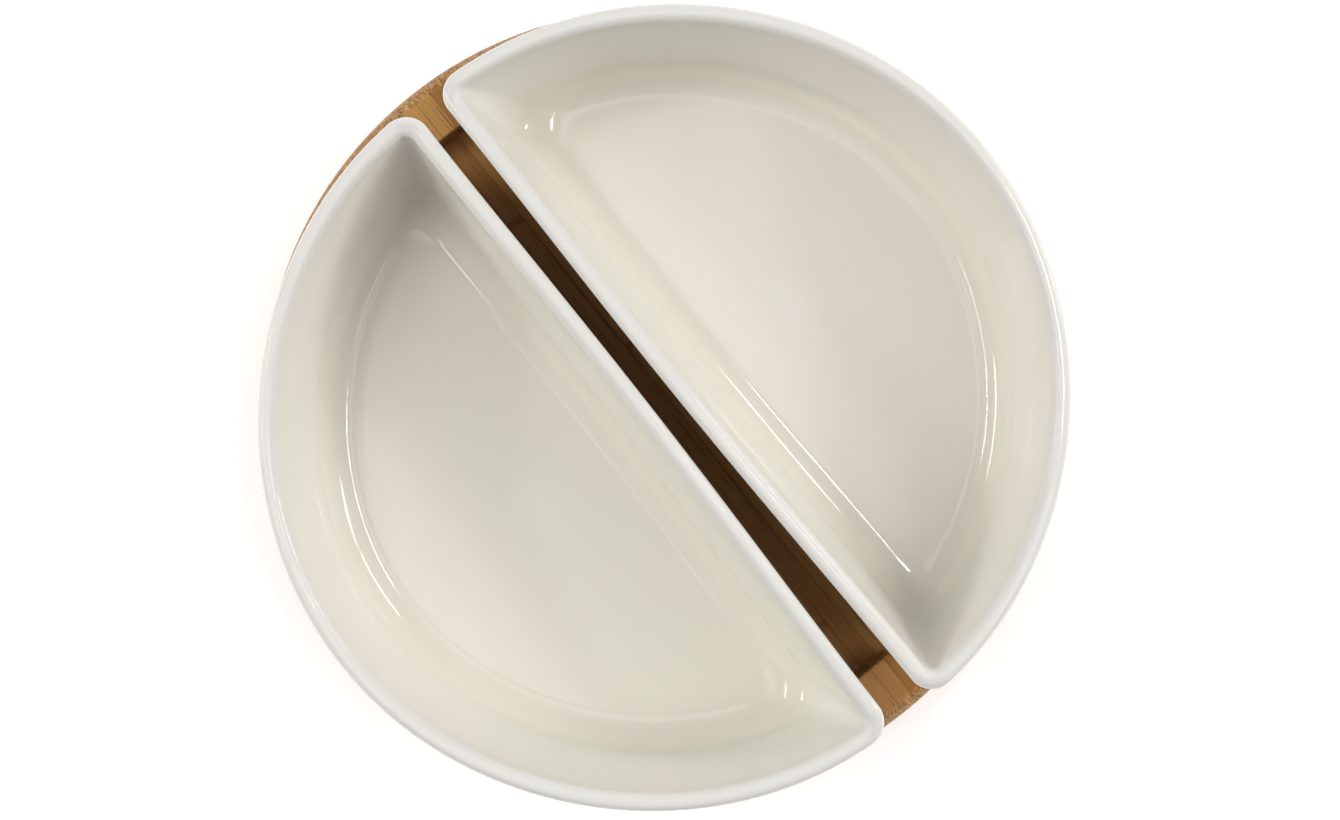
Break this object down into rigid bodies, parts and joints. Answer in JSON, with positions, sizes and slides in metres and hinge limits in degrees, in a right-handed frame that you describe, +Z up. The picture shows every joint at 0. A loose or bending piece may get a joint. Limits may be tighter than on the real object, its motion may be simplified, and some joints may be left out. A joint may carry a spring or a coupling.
{
  "type": "chip and dip server",
  "caption": "Round bamboo tray with a shallow pocket that holds two half-round glazed bowls side by side, straight sides facing, each lifting straight out.",
  "frame": {"origin": "centre of the round tray, on the surface that its feet stand on", "axes": "+Z up; +X along the gap between the bowls; +Y towards the right bowl"},
  "size_m": [0.258, 0.258, 0.0597],
  "materials": {
    "bamboo_panel": "satin",
    "bamboo_rim": "satin",
    "porcelain": "gloss",
    "foot_pad": "matte"
  },
  "bodies": {
    "tray": {"tray_floor": "bamboo_panel", "tray_rim": "bamboo_rim", "foot_1": "foot_pad", "foot_2": "foot_pad", "foot_3": "foot_pad", "foot_4": "foot_pad"},
    "bowl_left": {"bowl_left": "porcelain"},
    "bowl_right": {"bowl_right": "porcelain"}
  },
  "joints": [
    {"name": "bowl_left_lift", "type": "slide", "parent": "tray", "child": "bowl_left", "axis": [0, 0, 1], "range_m": [0, 0.07]},
    {"name": "bowl_right_lift", "type": "slide", "parent": "tray", "child": "bowl_right", "axis": [0, 0, 1], "range_m": [0, 0.07]}
  ]
}
